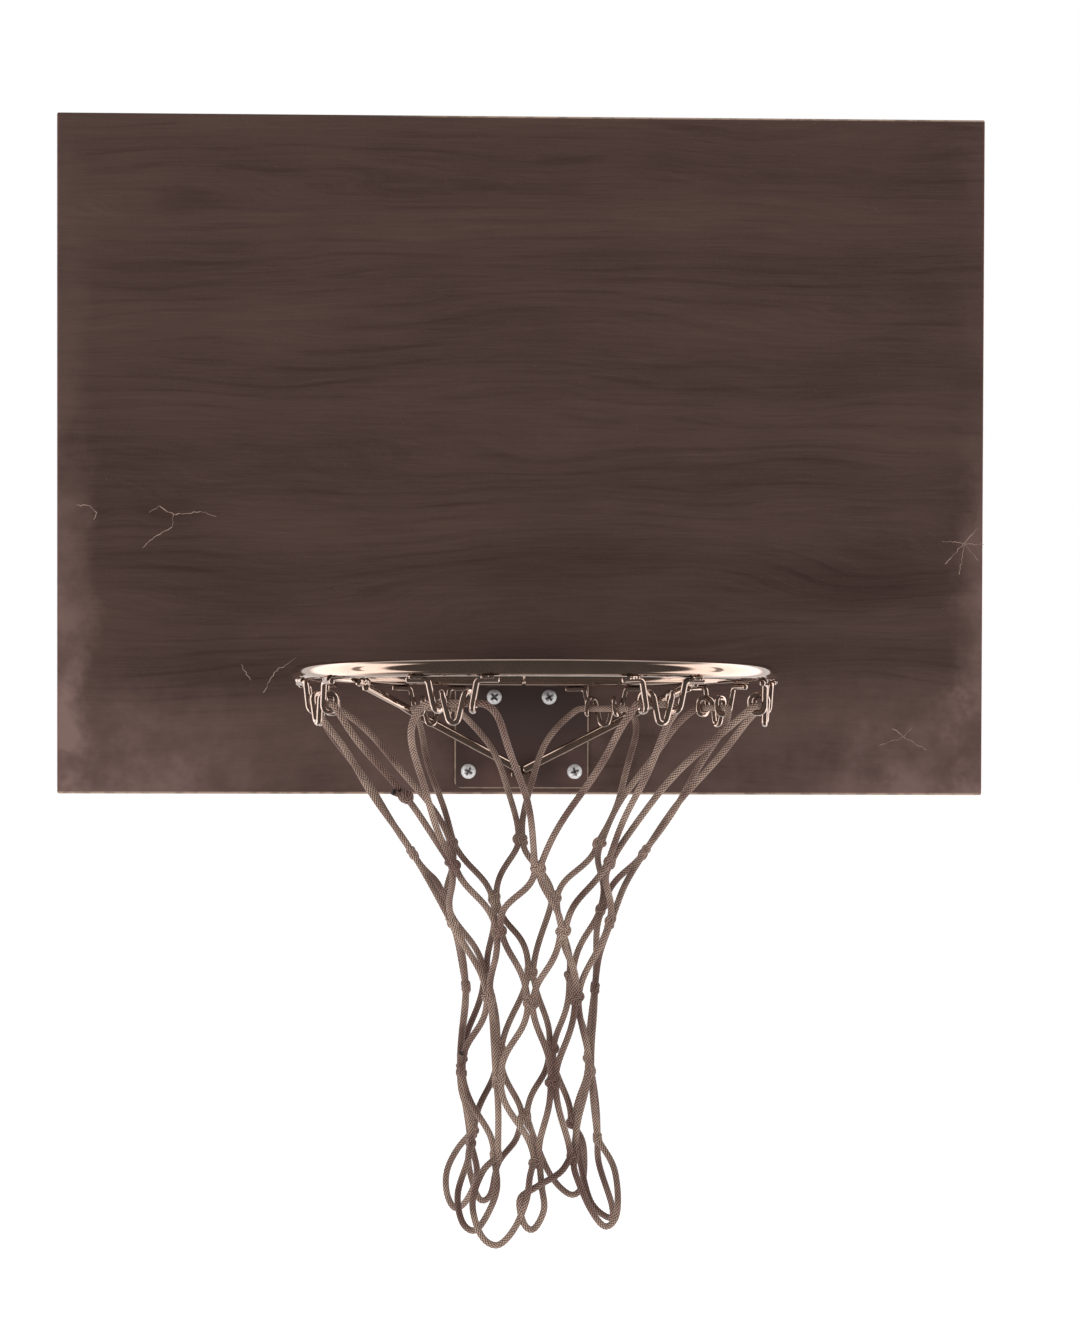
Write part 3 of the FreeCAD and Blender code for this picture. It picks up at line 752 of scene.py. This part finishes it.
def weld(start, end, radius, seed):
    """A weld bead: a rounded run with ripples across it and a lumpy skin."""
    start, end = Vector(start), Vector(end)
    run = end - start
    along = run.normalized() if run.length > 1e-6 else Vector((1, 0, 0))
    side = along.orthogonal().normalized()
    other = along.cross(side)
    rings, sides = WELD_RINGS, WELD_SIDES
    verts, faces = [], []
    reach = run.length + 2 * radius
    for i in range(rings + 1):
        s = i / rings
        from_start = s * reach - radius
        cap = max(0.0, max(-from_start, from_start - run.length)) / radius
        r = radius * math.sqrt(max(0.0, 1 - cap * cap))
        for j in range(sides):
            a = 2 * math.pi * j / sides
            skin = noise.noise(Vector((seed * 7.3, 0, 0)) + Vector((s * 5, math.cos(a), math.sin(a))) * 1.7)
            ripple = WELD_RIPPLE * math.sin(from_start / WELD_RIPPLE_PITCH * 2 * math.pi + seed)
            rr = r * (1 + WELD_LUMPS * skin + ripple)
            spot = start + along * from_start
            verts.append(spot + side * (math.cos(a) * rr) + other * (math.sin(a) * rr))
    for i in range(rings):
        for j in range(sides):
            k = (j + 1) % sides
            faces.append((i * sides + j, i * sides + k, (i + 1) * sides + k, (i + 1) * sides + j))
    faces.append(tuple(range(sides))[::-1])
    faces.append(tuple(rings * sides + j for j in range(sides)))
    return np.array([tuple(v) for v in verts]), faces, np.zeros(len(verts))


# the two rows of weld beads where the plate's tongue meets the back of the rim
SEAM_BEADS, SEAM_PITCH_DEGREES = 7, 2.6
SEAM_OUTWARD, SEAM_UP_DOWN = 4.6 * MM, 1.95 * MM


def make_metalwork(rim_look, wire_look, zinc_look):
    """The rim, braces, welds and hooks, and the finish of the plate and its screws."""
    ring = join_parts("rim_bar", [rim_parts()])
    use(ring, rim_look, replaces=["rim_ring"])
    for side, name in ((-1, "left_brace"), (1, "right_brace")):
        rod = join_parts(name + "_rod", [smooth_tube(brace_route(side), BRACE_R, sides=20, lumps=0.01)])
        use(rod, rim_look, replaces=[name])
    beads = []
    for side in (-1, 1):
        start = on_rim(side * (BRACE_RIM_ANGLE - 2), 0, -4.4, 1.0)
        end = on_rim(side * (BRACE_RIM_ANGLE + 1), 0, -4.4, 1.0)
        beads.append(weld(start, end, 2.3 * MM, side + 3))
    foot = Vector((0, PLATE_FRONT_Y - 0.8 * MM, BRACE_FOOT_Z - BRACE_R - 0.3 * MM))
    half_run = Vector((5 * MM, 0, 0))
    beads.append(weld(foot - half_run, foot + half_run, 1.6 * MM, 9))
    use(join_parts("brace_weld_beads", beads), rim_look, replaces=["brace_welds"])
    seams = []
    seam_r = RIM_R + SEAM_OUTWARD
    for up in (1, -1):
        for i in range(SEAM_BEADS):
            a, b = (math.radians(180 - 9 + (i + step) * SEAM_PITCH_DEGREES) for step in (0, 0.8))
            z = RIM_CENTRE.z + up * SEAM_UP_DOWN
            ends = [Vector((math.sin(t) * seam_r, RIM_CENTRE.y - math.cos(t) * seam_r, z)) for t in (a, b)]
            seams.append(weld(ends[0], ends[1], 1.5 * MM, i + up))
    use(join_parts("rim_weld_beads", seams), rim_look, replaces=["rim_welds"])
    for k, angle in enumerate(HOOK_ANGLES):
        wire = smooth_tube(hook_route(angle), WIRE_R, sides=16, step=0.6 * MM, lumps=0.015)
        tacks = []
        for side in (-1, 1):
            start, end = on_rim(angle, side * 15, 1.2, -0.4), on_rim(angle, side * 20, 1.4, -0.4)
            tacks.append(weld(start, end, 1.0 * MM, k + side))
        hook = join_parts("hook_wire_%d" % (k + 1), [wire] + tacks)
        use(hook, wire_look, replaces=["net_hook_%d" % (k + 1)])
    paint("back_plate", plate_material())
    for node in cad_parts:
        if "screw" in node:
            paint(node, zinc_look)


# millimetres between a crack's turns, and how far it strays sideways at each
CRACK_STEP, CRACK_JAG = 1.3, 1.1
# a ridge's radius as a share of the crack's width
CRACK_RIDGE = 0.3


def make_cracks(look):
    """Each crack is a hairline ridge along the board's face, jagged and of uneven width."""
    ridges = []
    for (x1, z1), (x2, z2), width in CRACKS:
        start = Vector((x1 * MM, -BOARD_THICK, z1 * MM))
        run = Vector(((x2 - x1) * MM, 0, (z2 - z1) * MM))
        sideways = run.cross(Vector((0, 1, 0))).normalized()
        steps = max(3, round(run.length / (CRACK_STEP * MM)))
        path = []
        for i in range(steps + 1):
            spot = start + run * (i / steps)
            inner = 1 if 0 < i < steps else 0
            path.append(spot + sideways * (noise.noise(spot * 700) * CRACK_JAG * MM * inner))
        ridges.append(smooth_tube(path, width * CRACK_RIDGE * MM, sides=8, step=0.6 * MM, lumps=0.4))
    use(join_parts("board_cracks", ridges), look)


# ---------------------------------------------------------------- net
def islands(node):
    """The centre of each separate solid in a CAD node."""
    mesh = bmesh.new()
    mesh.from_mesh(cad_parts[node].data)
    bmesh.ops.remove_doubles(mesh, verts=mesh.verts, dist=1e-6)
    left, centres = set(mesh.verts), []
    while left:
        seed = left.pop()
        group, edge = [seed], [seed]
        while edge:
            vert = edge.pop()
            for link in vert.link_edges:
                other = link.other_vert(vert)
                if other in left:
                    left.remove(other)
                    group.append(other)
                    edge.append(other)
        low = Vector([min(v.co[i] for v in group) for i in range(3)])
        high = Vector([max(v.co[i] for v in group) for i in range(3)])
        centres.append((low + high) / 2)
    mesh.free()
    return centres


def knot_rows():
    """The knots' centres row by row, each row in order round the net from its first knot."""
    rows = []
    for number, start in enumerate(ROW_START, 1):
        def order(p):
            angle = math.degrees(math.atan2(p.x, RIM_CENTRE.y - p.y))
            return (angle - start + ROW_ROOM) % 360
        rows.append(sorted(islands("net_knots_row_%d" % number), key=order))
    return rows


BESIDE_OFFSET = 1.25 * MM


def beside(knot, side):
    """A point in a knot, a little to one side of its middle, where one of its two cords runs."""
    outward = Vector((knot.x, knot.y - RIM_CENTRE.y, 0))
    return knot + UP.cross(outward).normalized() * (side * BESIDE_OFFSET)


def jitter(amount):
    """A small random shift."""
    return Vector([random.uniform(-amount, amount) for _ in range(3)])


# how far a strand holds the way it leaves a knot, as a share of its length
STRAND_HOLD = 0.42


def strand(a, way_a, b, way_b):
    """A strand between two knots: it leaves each along the net, so it runs beside its neighbour
    for a short way, and crosses over in between."""
    reach = (b - a).length * STRAND_HOLD
    start_handle = a + way_a * reach * random.uniform(0.8, 1.25) + jitter(2.0 * MM)
    end_handle = b - way_b * reach * random.uniform(0.8, 1.25) + jitter(2.0 * MM)
    return bezier(a, start_handle, end_handle, b)


def smooth_through(points, count=10):
    """A smooth line through the points, with this many steps between each two."""
    p = [2 * np.array(points[0]) - np.array(points[1])] + [np.array(q) for q in points]
    p.append(2 * p[-1] - p[-2])
    t = np.linspace(0, 1, count, endpoint=False)[:, None]
    runs = []
    for a, b, c, d in zip(p, p[1:], p[2:], p[3:]):
        square, cube = a - 2.5 * b + 2 * c - d / 2, 1.5 * (b - c) + (d - a) / 2
        runs.append(b + (c - a) * t / 2 + square * t**2 + cube * t**3)
    return np.concatenate(runs + [[p[-2]]])


def bowed(path, bow, waves):
    """A path moved sideways by up to bow in its middle, with a few slack waves."""
    share = np.linspace(0, 1, len(path))[:, None]
    phase = random.uniform(0, 2 * math.pi)
    sway = np.sin(math.pi * share)
    wave = np.sin(2 * math.pi * 1.6 * share + phase) * sway
    other = np.cos(2 * math.pi * 1.3 * share + phase) * sway
    return path + np.concatenate([sway * bow + wave * waves, other * waves, 0 * share], 1)


KNOT_SCALE = 0.80


def trefoil(centre, way, roll):
    """A tied knot: one cord's overhand turn drawn tight, as a closed path."""
    t = np.linspace(0, 2 * math.pi, 90)
    flat = np.stack([
        (2.0 + 1.05 * np.cos(3 * t)) * np.cos(2 * t),
        1.35 * np.sin(3 * t),
        (2.0 + 1.05 * np.cos(3 * t)) * np.sin(2 * t) * 1.35,
    ], 1) * KNOT_SCALE * MM
    outward = Vector((centre.x, centre.y - RIM_CENTRE.y, 0)).normalized()
    down = way.normalized()
    side = down.cross(outward).normalized()
    face = side.cross(down).normalized()
    turn = Matrix((side, face, -down)).transposed()
    spin = Matrix.Rotation(roll, 3, "Y")
    return [centre + (turn @ spin) @ Vector(tuple(q)) for q in flat]


def tail(knot, way, length):
    """A short cut end that stands out of a knot and curls a little."""
    reach = length * MM
    curl = UP.cross(way).normalized() * reach * 0.35
    handles = knot + way * reach * 0.4, knot + way * reach * 0.8 + curl * 0.4
    return bezier(knot, *handles, knot + way * reach + curl, 12)


def mean(points):
    """The middle of some points."""
    return sum(points, Vector()) / len(points)


def knot_ways(rows, eyes):
    """The way that each knot's cords run through it, row by row."""
    count = KNOTS_A_ROW
    ways = []
    for number, row in enumerate(rows):
        row_ways = []
        for k, knot in enumerate(row):
            if number == 0:
                above = [eyes[(k + 1) % count][1], eyes[(k + 2) % count][0]]
            else:
                first = ROW_FIRST[number - 1]
                above = [rows[number - 1][(k - first) % count], rows[number - 1][(k - first - 1) % count]]
            if number < len(rows) - 1:
                first = ROW_FIRST[number]
                below = [rows[number + 1][(k + first) % count], rows[number + 1][(k + first + 1) % count]]
            else:
                below = [knot - UP * 0.04]
            way_in = (knot - mean(above)).normalized()
            way_out = (mean(below) - knot).normalized()
            row_ways.append((way_in + way_out).normalized())
        ways.append(row_ways)
    return ways


def cord_piece(name, paths, look, replaced, body=None, blend=None):
    """One piece of braided cord along several paths. It rides one body, or, given a blend, rides no body,
    with its place baked into its mesh; what the blend holds isn't read.
    """
    parts = [braided_tube(path, twist=i * 0.7 * MM) for i, path in enumerate(paths)]
    piece = join_parts(name, parts)
    use(piece, look, body=body, replaces=[replaced])
    if blend:
        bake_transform(piece)


def blend_between(upper_body, lower_body, heights):
    """The two bodies of a blend, and the points above the net's middle where it starts and ends."""
    return (upper_body, lower_body, *(Vector((0, RIM_CENTRE.y, z)) for z in heights))


def row_body(number):
    """The body that a row's knots ride, and the strands below it."""
    return "net_upper" if number < 2 else "net_tail"


def make_top_loops(rows, eyes, ways, cord_look):
    """Each goes through both eyes of a hook, then down to a knot on each side."""
    count = KNOTS_A_ROW
    for k, (left_eye, right_eye) in enumerate(eyes):
        left_knot, right_knot = (k + 6) % count, (k + 7) % count
        through = (right_eye - left_eye).normalized()
        a = beside(rows[0][left_knot], 1)
        b = beside(rows[0][right_knot], -1)
        way_a, way_b = ways[0][left_knot], ways[0][right_knot]
        reach_a, reach_b = (left_eye - a).length, (right_eye - b).length
        (exit_a, bow_a), (exit_b, bow_b) = TOP_LEGS[k]
        up_handle, down_handle = a - way_a * reach_a * LEG_HOLD, b - way_b * reach_b * LEG_HOLD
        up_leg = bezier(a, up_handle, left_eye - through * exit_a * MM, left_eye, 60)
        down_leg = bezier(right_eye, right_eye + through * exit_b * MM, down_handle, b, 60)
        up_leg, down_leg = bowed(up_leg, bow_a * MM, LEG_WAVES), bowed(down_leg, bow_b * MM, LEG_WAVES)
        paths = [np.concatenate([up_leg, down_leg])]
        if k == SPLICED_LOOP:
            place = Vector(tuple(down_leg[int(len(down_leg) * SPLICE_SHARE)]))
            out = Vector((-1.0, -0.2, 0.35)).normalized()
            paths += [tail(place, out, 7), tail(place, (out + UP * 0.5).normalized(), 5)]
            paths.append(trefoil(place, Vector((0.4, 0, -1)), 0.6))
        blend = blend_between("hoop", "net_upper", SWING_BLEND_Z)
        cord_piece("cord_loop_%d" % (k + 1), paths, cord_look, "net_loop_%d" % (k + 1), blend=blend)


def make_strands(rows, ways, cord_look):
    """Two strands down from each knot, to two knots of the next row."""
    for number, first in enumerate(ROW_FIRST):
        upper, lower = rows[number], rows[number + 1]
        paths = []
        for k, knot in enumerate(upper):
            for step, side in ((first, -1), (first + 1, 1)):
                j = (k + step) % KNOTS_A_ROW
                start, end = beside(knot, side), beside(lower[j], -side)
                paths.append(strand(start, ways[number][k], end, ways[number + 1][j]))
        name, replaced = "cord_mesh_%d" % (number + 1), "net_mesh_%d" % (number + 1)
        if number == SWAY_ROW:
            blend = blend_between("net_upper", "net_tail", SWAY_BLEND_Z)
            cord_piece(name, paths, cord_look, replaced, blend=blend)
        else:
            cord_piece(name, paths, cord_look, replaced, body=row_body(number))


def make_knots(rows, ways, cord_look):
    """Each row's tied knots, with the short cut ends that stand out of a few."""
    for number, row in enumerate(rows):
        paths = [trefoil(knot, ways[number][k], random.uniform(0, 6.28)) for k, knot in enumerate(row)]
        parts = [braided_tube(path, radius=CORD_R * 0.85, closed=True) for path in paths]
        for end_row, k, way, length in CUT_ENDS:
            if end_row == number:
                cut_end = tail(row[k], Vector(way).normalized(), length)
                parts.append(braided_tube(cut_end, radius=CORD_R * 0.9))
        piece = join_parts("tied_knots_%d" % (number + 1), parts)
        replaced = ["net_knots_row_%d" % (number + 1)]
        use(piece, cord_look, body=row_body(number), replaces=replaced)


def make_foot_loops(rows, cord_look):
    """The open loops at the foot, each between two knots of the last row."""
    paths = []
    last = rows[-1]
    for k, points in enumerate(FOOT_LOOPS):
        ends = [(k, 1), ((k + 1) % KNOTS_A_ROW, -1)]
        if k == CROSSED_LOOP:
            ends.reverse()
        (start, start_side), (end, end_side) = ends
        first, final = beside(last[start], start_side), beside(last[end], end_side)
        middle = [np.array(point) * MM for point in points]
        paths.append(smooth_through([np.array(first)] + middle + [np.array(final)]))
    cord_piece("cord_bottom_loops", paths, cord_look, "net_bottom_loops", body="net_tail")


def make_net(cord_look):
    """The whole net, from the hooks down. The order matters, since the parts share one random run."""
    rows = knot_rows()
    eyes = []
    for angle in HOOK_ANGLES:
        eyes.append([on_rim(angle, side * LOOP_EYE[0], *LOOP_EYE[1:]) for side in (-1, 1)])
    ways = knot_ways(rows, eyes)
    make_top_loops(rows, eyes, ways, cord_look)
    make_strands(rows, ways, cord_look)
    make_knots(rows, ways, cord_look)
    make_foot_loops(rows, cord_look)


# ---------------------------------------------------------------- stage
# strengths of the world that the metal mirrors, by direction, and of the light on matt surfaces
FRONT_LIGHT, BACK_LIGHT, SIDE_LIGHT, TOP_LIGHT, FOOT_LIGHT = 0.10, 1.1, 3.4, 0.35, 0.8
AMBIENT_LIGHT = 0.25
FLOOR_HALF_SIZE, FLOOR_BELOW = 30.0, 0.45
# name, place, the point it faces, width, height and radiance
SOFTBOXES = (
    ("key_softbox", (-0.9, -1.5, 0.7), (0, -0.1, -0.15), 1.3, 1.0, 2.6),
    ("back_softbox", (0.5, 1.7, 0.9), (0, 0, -0.1), 1.3, 1.0, 1.6),
    ("fill_softbox", (1.1, -1.4, 0.3), (0, -0.1, -0.15), 1.0, 1.0, 0.85),
)


def make_world():
    """What the metal reflects: a white cove, dim on the viewer's side, with a bright wall at each
    side that has a narrow dark joint. The camera sees plain white, and matt surfaces get an even
    soft light."""
    world = bpy.data.worlds.new("studio")
    bpy.context.scene.world = world
    world.use_nodes = True
    n = Nodes(world.node_tree)
    _, y, z = n.split(n.output("ShaderNodeTexCoord", "Generated"))
    high = n.math("ABSOLUTE", z)
    light = n.remap(y, 0.05, 0.55, FRONT_LIGHT, BACK_LIGHT)
    wall = n.math("MULTIPLY", n.remap(y, -0.30, -0.20), n.remap(y, 0.75, 0.55))
    wall = n.math("MULTIPLY", wall, n.remap(high, 0.80, 0.60))
    light = n.math("MAXIMUM", light, n.math("MULTIPLY", wall, SIDE_LIGHT))
    from_joint = n.math("ABSOLUTE", n.math("SUBTRACT", y, 0.05))
    joint = n.math("MULTIPLY", n.remap(from_joint, 0.07, 0.03), n.remap(high, 0.4, 0.3))
    light = n.math("MULTIPLY", light, n.remap(joint, 0.0, 1.0, 1.0, 0.15))
    behind = n.remap(y, 0.0, 0.3)
    for low, high_end, amount in ((0.45, 0.8, TOP_LIGHT), (-0.45, -0.8, FOOT_LIGHT)):
        end_light = n.math("MULTIPLY", behind, n.remap(z, low, high_end, 0.0, amount))
        light = n.math("MAXIMUM", light, end_light)
    seen = n.output("ShaderNodeLightPath", "Is Camera Ray")
    mirrored = n.output("ShaderNodeLightPath", "Is Glossy Ray")
    light = n.remap(mirrored, 0.0, 1.0, AMBIENT_LIGHT, light)
    light = n.remap(seen, 0.0, 1.0, light, 1.0)
    background = n.tree.nodes.new("ShaderNodeBackground")
    background.inputs["Color"].default_value = (1, 1, 1, 1)
    n.put(background.inputs["Strength"], light)
    out = n.tree.nodes.new("ShaderNodeOutputWorld")
    n.tree.links.new(background.outputs[0], out.inputs["Surface"])


def softbox(name, place, target, width, height, radiance):
    """A soft light that the camera and the metal's reflections don't see."""
    data = bpy.data.lights.new(name, "AREA")
    data.shape, data.size, data.size_y = "RECTANGLE", width, height
    data.energy = radiance * math.pi * width * height
    light = bpy.data.objects.new(name, data)
    bpy.context.collection.objects.link(light)
    light.location = place
    light.rotation_mode = "QUATERNION"
    light.rotation_quaternion = (Vector(target) - Vector(place)).to_track_quat("-Z", "Y")
    light.visible_camera = False
    light.visible_glossy = False


def make_stage():
    """The floor, the world and the lights."""
    low = CAD_BOX[0]
    size, z = FLOOR_HALF_SIZE, float(low[2]) - FLOOR_BELOW
    verts = [(-size, -size, z), (size, -size, z), (size, size, z), (-size, size, z)]
    floor = new_object("floor", verts, [(0, 1, 2, 3)])
    floor.data.materials.append(floor_material())
    floor.visible_glossy = False

    make_world()
    for box in SOFTBOXES:
        softbox(*box)
    bpy.context.scene.view_settings.view_transform = "Standard"


# ---------------------------------------------------------------- build
make_camera()
make_stage()
make_net(cord_material())
rim_look = dark_metal("dark_steel_look", rgb(160, 134, 118), 0.07)
wire_look = dark_metal("dark_wire_look", rgb(168, 142, 128), 0.09)
make_metalwork(rim_look, wire_look, zinc_material())
paint("backboard", wood_material())
make_cracks(crack_material())
